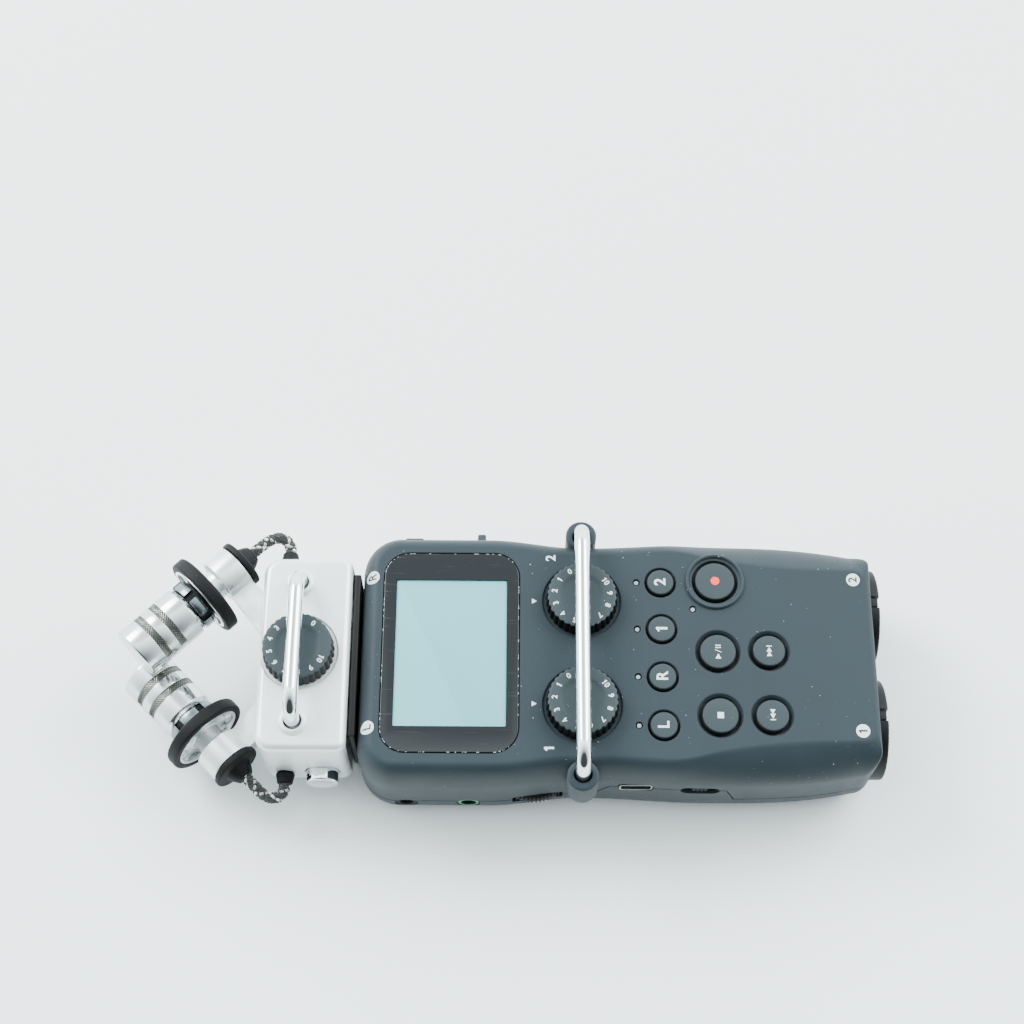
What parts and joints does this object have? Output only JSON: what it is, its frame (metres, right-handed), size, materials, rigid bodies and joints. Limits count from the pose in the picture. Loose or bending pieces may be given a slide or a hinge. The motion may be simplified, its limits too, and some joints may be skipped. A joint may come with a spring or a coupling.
{
  "type": "portable field recorder",
  "caption": "Handheld audio recorder with display, level dials, transport keys, roll bars, combination sockets and a slide-out stereo microphone capsule.",
  "frame": {"origin": "on the surface the recorder lies on, under the middle of its bounding box", "axes": "+Z out of the front panel, +X from the microphones to the plug sockets, +Y to the right microphone's side"},
  "size_m": [0.1962, 0.0728, 0.0419],
  "materials": {
    "soft_touch_plastic": "soft-touch, fine grain",
    "dial_plastic": "moulded, fine grain",
    "black_plastic": "moulded",
    "gloss_window": "polished",
    "lcd_glass": "polarising film",
    "polished_chrome": "polished",
    "satin_silver": "satin",
    "turned_aluminium": "turned, bright",
    "plated_steel": "plated",
    "black_rubber": "matte",
    "braided_sleeve": "braided",
    "board_green": "solder mask",
    "green_plastic": "moulded",
    "light_guide": "clear, frosted",
    "battery_wrap": "printed sleeve, left plain"
  },
  "bodies": {
    "main_unit": {"front_cover": "soft_touch_plastic", "rear_cover": "soft_touch_plastic", "display_window": "gloss_window", "lcd_module": "lcd_glass", "main_board": "board_green", "roll_bar": "polished_chrome", "track_light_guide": "light_guide", "record_led": "light_guide", "usb_port": "plated_steel", "phone_jack": "green_plastic", "line_out_jack": "black_plastic", "memory_card": "black_plastic", "combo_jack_1": "black_plastic", "combo_jack_2": "black_plastic", "battery_1": "battery_wrap", "battery_2": "battery_wrap", "battery_spring_1": "plated_steel", "battery_spring_2": "plated_steel", "battery_bay": "black_plastic", "speaker": "black_plastic", "tripod_bush": "plated_steel", "capsule_socket": "black_plastic"},
    "track_button_r": {"track_button_r": "dial_plastic"},
    "track_button_l": {"track_button_l": "dial_plastic"},
    "track_button_1": {"track_button_1": "dial_plastic"},
    "track_button_2": {"track_button_2": "dial_plastic"},
    "record_button": {"record_button": "dial_plastic"},
    "play_button": {"play_button": "dial_plastic"},
    "stop_button": {"stop_button": "dial_plastic"},
    "forward_button": {"forward_button": "dial_plastic"},
    "rewind_button": {"rewind_button": "dial_plastic"},
    "input_dial_1": {"input_dial_1": "dial_plastic"},
    "input_dial_2": {"input_dial_2": "dial_plastic"},
    "volume_wheel": {"volume_wheel": "black_plastic"},
    "power_switch": {"power_switch": "black_plastic"},
    "menu_button": {"menu_button": "dial_plastic"},
    "select_lever": {"select_lever": "dial_plastic"},
    "card_cover": {"card_cover": "soft_touch_plastic"},
    "battery_door": {"battery_door": "soft_touch_plastic"},
    "release_tab_1": {"release_tab_1": "black_plastic"},
    "release_tab_2": {"release_tab_2": "black_plastic"},
    "capsule": {"capsule_shell": "satin_silver", "capsule_base": "black_plastic", "capsule_board": "board_green", "capsule_roll_bar": "polished_chrome", "mic_arm_left": "satin_silver", "mic_arm_right": "satin_silver", "shock_ring_left": "black_rubber", "shock_ring_right": "black_rubber", "mic_left": "turned_aluminium", "mic_right": "turned_aluminium", "mic_end_cap_left": "black_rubber", "mic_end_cap_right": "black_rubber", "mic_cord_left": "braided_sleeve", "mic_cord_right": "braided_sleeve", "cord_gland_left": "black_rubber", "cord_gland_right": "black_rubber"},
    "capsule_dial": {"capsule_dial": "dial_plastic"},
    "release_button_left": {"release_button_left": "polished_chrome"},
    "release_button_right": {"release_button_right": "polished_chrome"}
  },
  "joints": [
    {"name": "input_dial_1_turn", "type": "hinge", "parent": "main_unit", "child": "input_dial_1", "pos_m": [0.02084, -0.01402, 0.032], "axis": [0, 0, 1], "range_deg": [-220, 60]},
    {"name": "input_dial_2_turn", "type": "hinge", "parent": "main_unit", "child": "input_dial_2", "pos_m": [0.02084, 0.01402, 0.032], "axis": [0, 0, 1], "range_deg": [-216, 64]},
    {"name": "track_button_r_slide", "type": "slide", "parent": "main_unit", "child": "track_button_r", "axis": [0, 0, -1], "range_m": [0, 0.0005], "stiffness_N_per_m": 2400},
    {"name": "track_button_l_slide", "type": "slide", "parent": "main_unit", "child": "track_button_l", "axis": [0, 0, -1], "range_m": [0, 0.0005], "stiffness_N_per_m": 2400},
    {"name": "track_button_1_slide", "type": "slide", "parent": "main_unit", "child": "track_button_1", "axis": [0, 0, -1], "range_m": [0, 0.0005], "stiffness_N_per_m": 2400},
    {"name": "track_button_2_slide", "type": "slide", "parent": "main_unit", "child": "track_button_2", "axis": [0, 0, -1], "range_m": [0, 0.0005], "stiffness_N_per_m": 2400},
    {"name": "record_button_slide", "type": "slide", "parent": "main_unit", "child": "record_button", "axis": [0, 0, -1], "range_m": [0, 0.0005], "stiffness_N_per_m": 2400},
    {"name": "play_button_slide", "type": "slide", "parent": "main_unit", "child": "play_button", "axis": [0, 0, -1], "range_m": [0, 0.0005], "stiffness_N_per_m": 2400},
    {"name": "stop_button_slide", "type": "slide", "parent": "main_unit", "child": "stop_button", "axis": [0, 0, -1], "range_m": [0, 0.0005], "stiffness_N_per_m": 2400},
    {"name": "forward_button_slide", "type": "slide", "parent": "main_unit", "child": "forward_button", "axis": [0, 0, -1], "range_m": [0, 0.0005], "stiffness_N_per_m": 2400},
    {"name": "rewind_button_slide", "type": "slide", "parent": "main_unit", "child": "rewind_button", "axis": [0, 0, -1], "range_m": [0, 0.0005], "stiffness_N_per_m": 2400},
    {"name": "volume_wheel_turn", "type": "hinge", "parent": "main_unit", "child": "volume_wheel", "pos_m": [0.00841, -0.0215, 0.012], "axis": [0, 0, 1], "range_deg": [-135, 135]},
    {"name": "power_switch_slide", "type": "slide", "parent": "main_unit", "child": "power_switch", "axis": [1, 0, 0], "range_m": [-0.0025, 0.0025]},
    {"name": "menu_button_slide", "type": "slide", "parent": "main_unit", "child": "menu_button", "axis": [0, -1, 0], "range_m": [0, 0.0005], "stiffness_N_per_m": 2400},
    {"name": "select_lever_slide", "type": "slide", "parent": "main_unit", "child": "select_lever", "axis": [1, 0, 0], "range_m": [-0.0015, 0.0015], "stiffness_N_per_m": 600},
    {"name": "card_cover_turn", "type": "hinge", "parent": "main_unit", "child": "card_cover", "pos_m": [0.04281, 0.0323, 0.0155], "axis": [-1, 0, 0], "range_deg": [0, 100]},
    {"name": "battery_door_slide", "type": "slide", "parent": "main_unit", "child": "battery_door", "axis": [-1, 0, 0], "range_m": [0, 0.004]},
    {"name": "release_tab_1_slide", "type": "slide", "parent": "main_unit", "child": "release_tab_1", "axis": [-1, 0, 0], "range_m": [0, 0.0015], "stiffness_N_per_m": 1500},
    {"name": "release_tab_2_slide", "type": "slide", "parent": "main_unit", "child": "release_tab_2", "axis": [-1, 0, 0], "range_m": [0, 0.0015], "stiffness_N_per_m": 1500},
    {"name": "capsule_slide", "type": "slide", "parent": "main_unit", "child": "capsule", "axis": [-1, 0, 0], "range_m": [0, 0.03]},
    {"name": "capsule_dial_turn", "type": "hinge", "parent": "capsule", "child": "capsule_dial", "pos_m": [-0.05139, 0, 0.032], "axis": [0, 0, 1], "range_deg": [-184, 123]},
    {"name": "release_button_left_slide", "type": "slide", "parent": "capsule", "child": "release_button_left", "axis": [0, 1, 0], "range_m": [0, 0.0015], "stiffness_N_per_m": 1500},
    {"name": "release_button_right_slide", "type": "slide", "parent": "capsule", "child": "release_button_right", "axis": [0, -1, 0], "range_m": [0, 0.0015], "stiffness_N_per_m": 1500}
  ]
}
